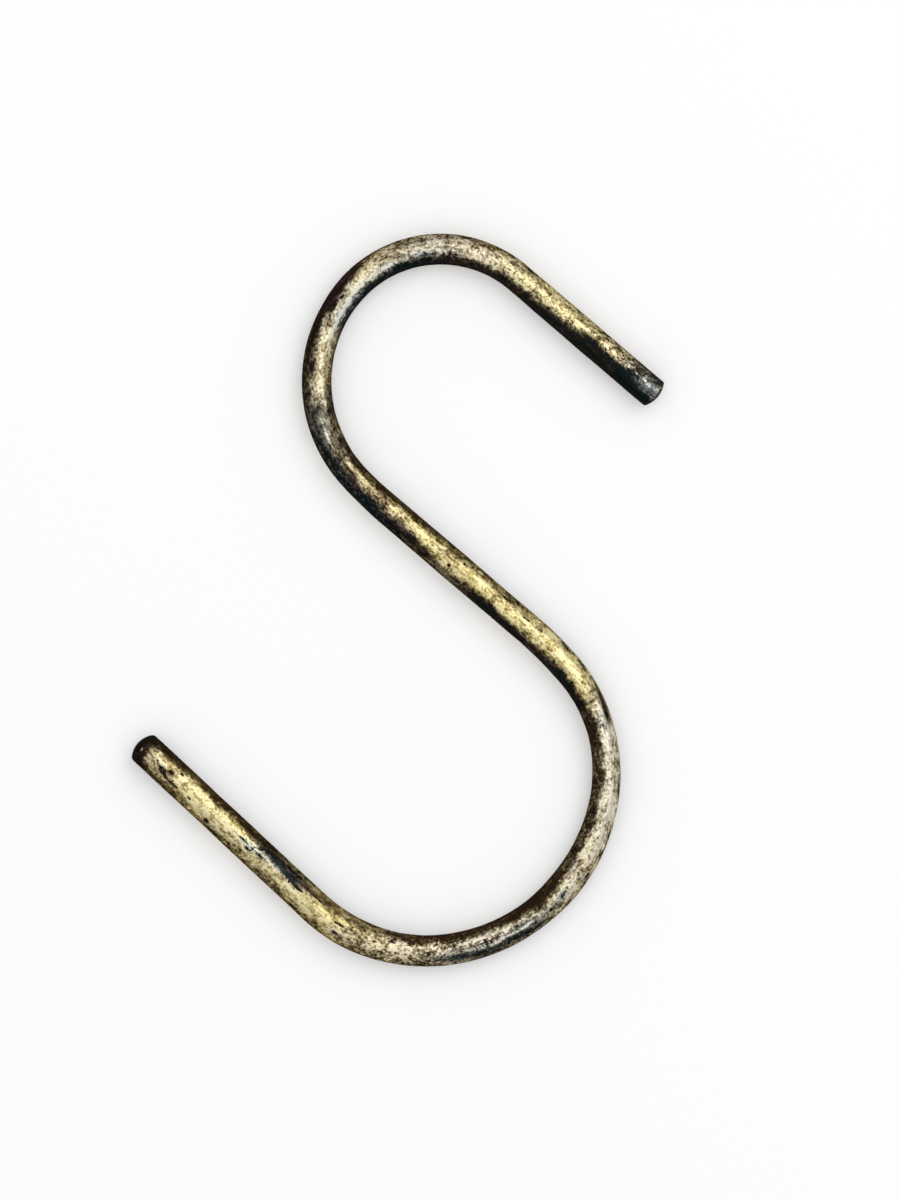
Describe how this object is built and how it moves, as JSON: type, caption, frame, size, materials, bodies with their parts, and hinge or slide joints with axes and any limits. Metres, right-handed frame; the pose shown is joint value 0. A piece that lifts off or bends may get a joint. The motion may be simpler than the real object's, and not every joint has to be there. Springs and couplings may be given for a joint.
{
  "type": "s hook",
  "caption": "S-shaped hook bent from one round brass bar: a small bay hangs over a rail, a wider bay below carries the load, both with domed straight ends.",
  "frame": {"origin": "under the middle of the hook, on the table that it lies on: bottom centre of its bounding box", "axes": "the S lies in the XY plane, +Y is up when it hangs (small bay at +Y, open to +X; wide bay at -Y, open to -X), +Z is up off the table"},
  "size_m": [0.087, 0.1199, 0.0055],
  "materials": {
    "antique_brass": "worn antique brass, bright along the crown of the bar, brown and black patina in the bays and at the ends"
  },
  "bodies": {
    "root": {"hook_bar": "antique_brass"}
  },
  "joints": []
}
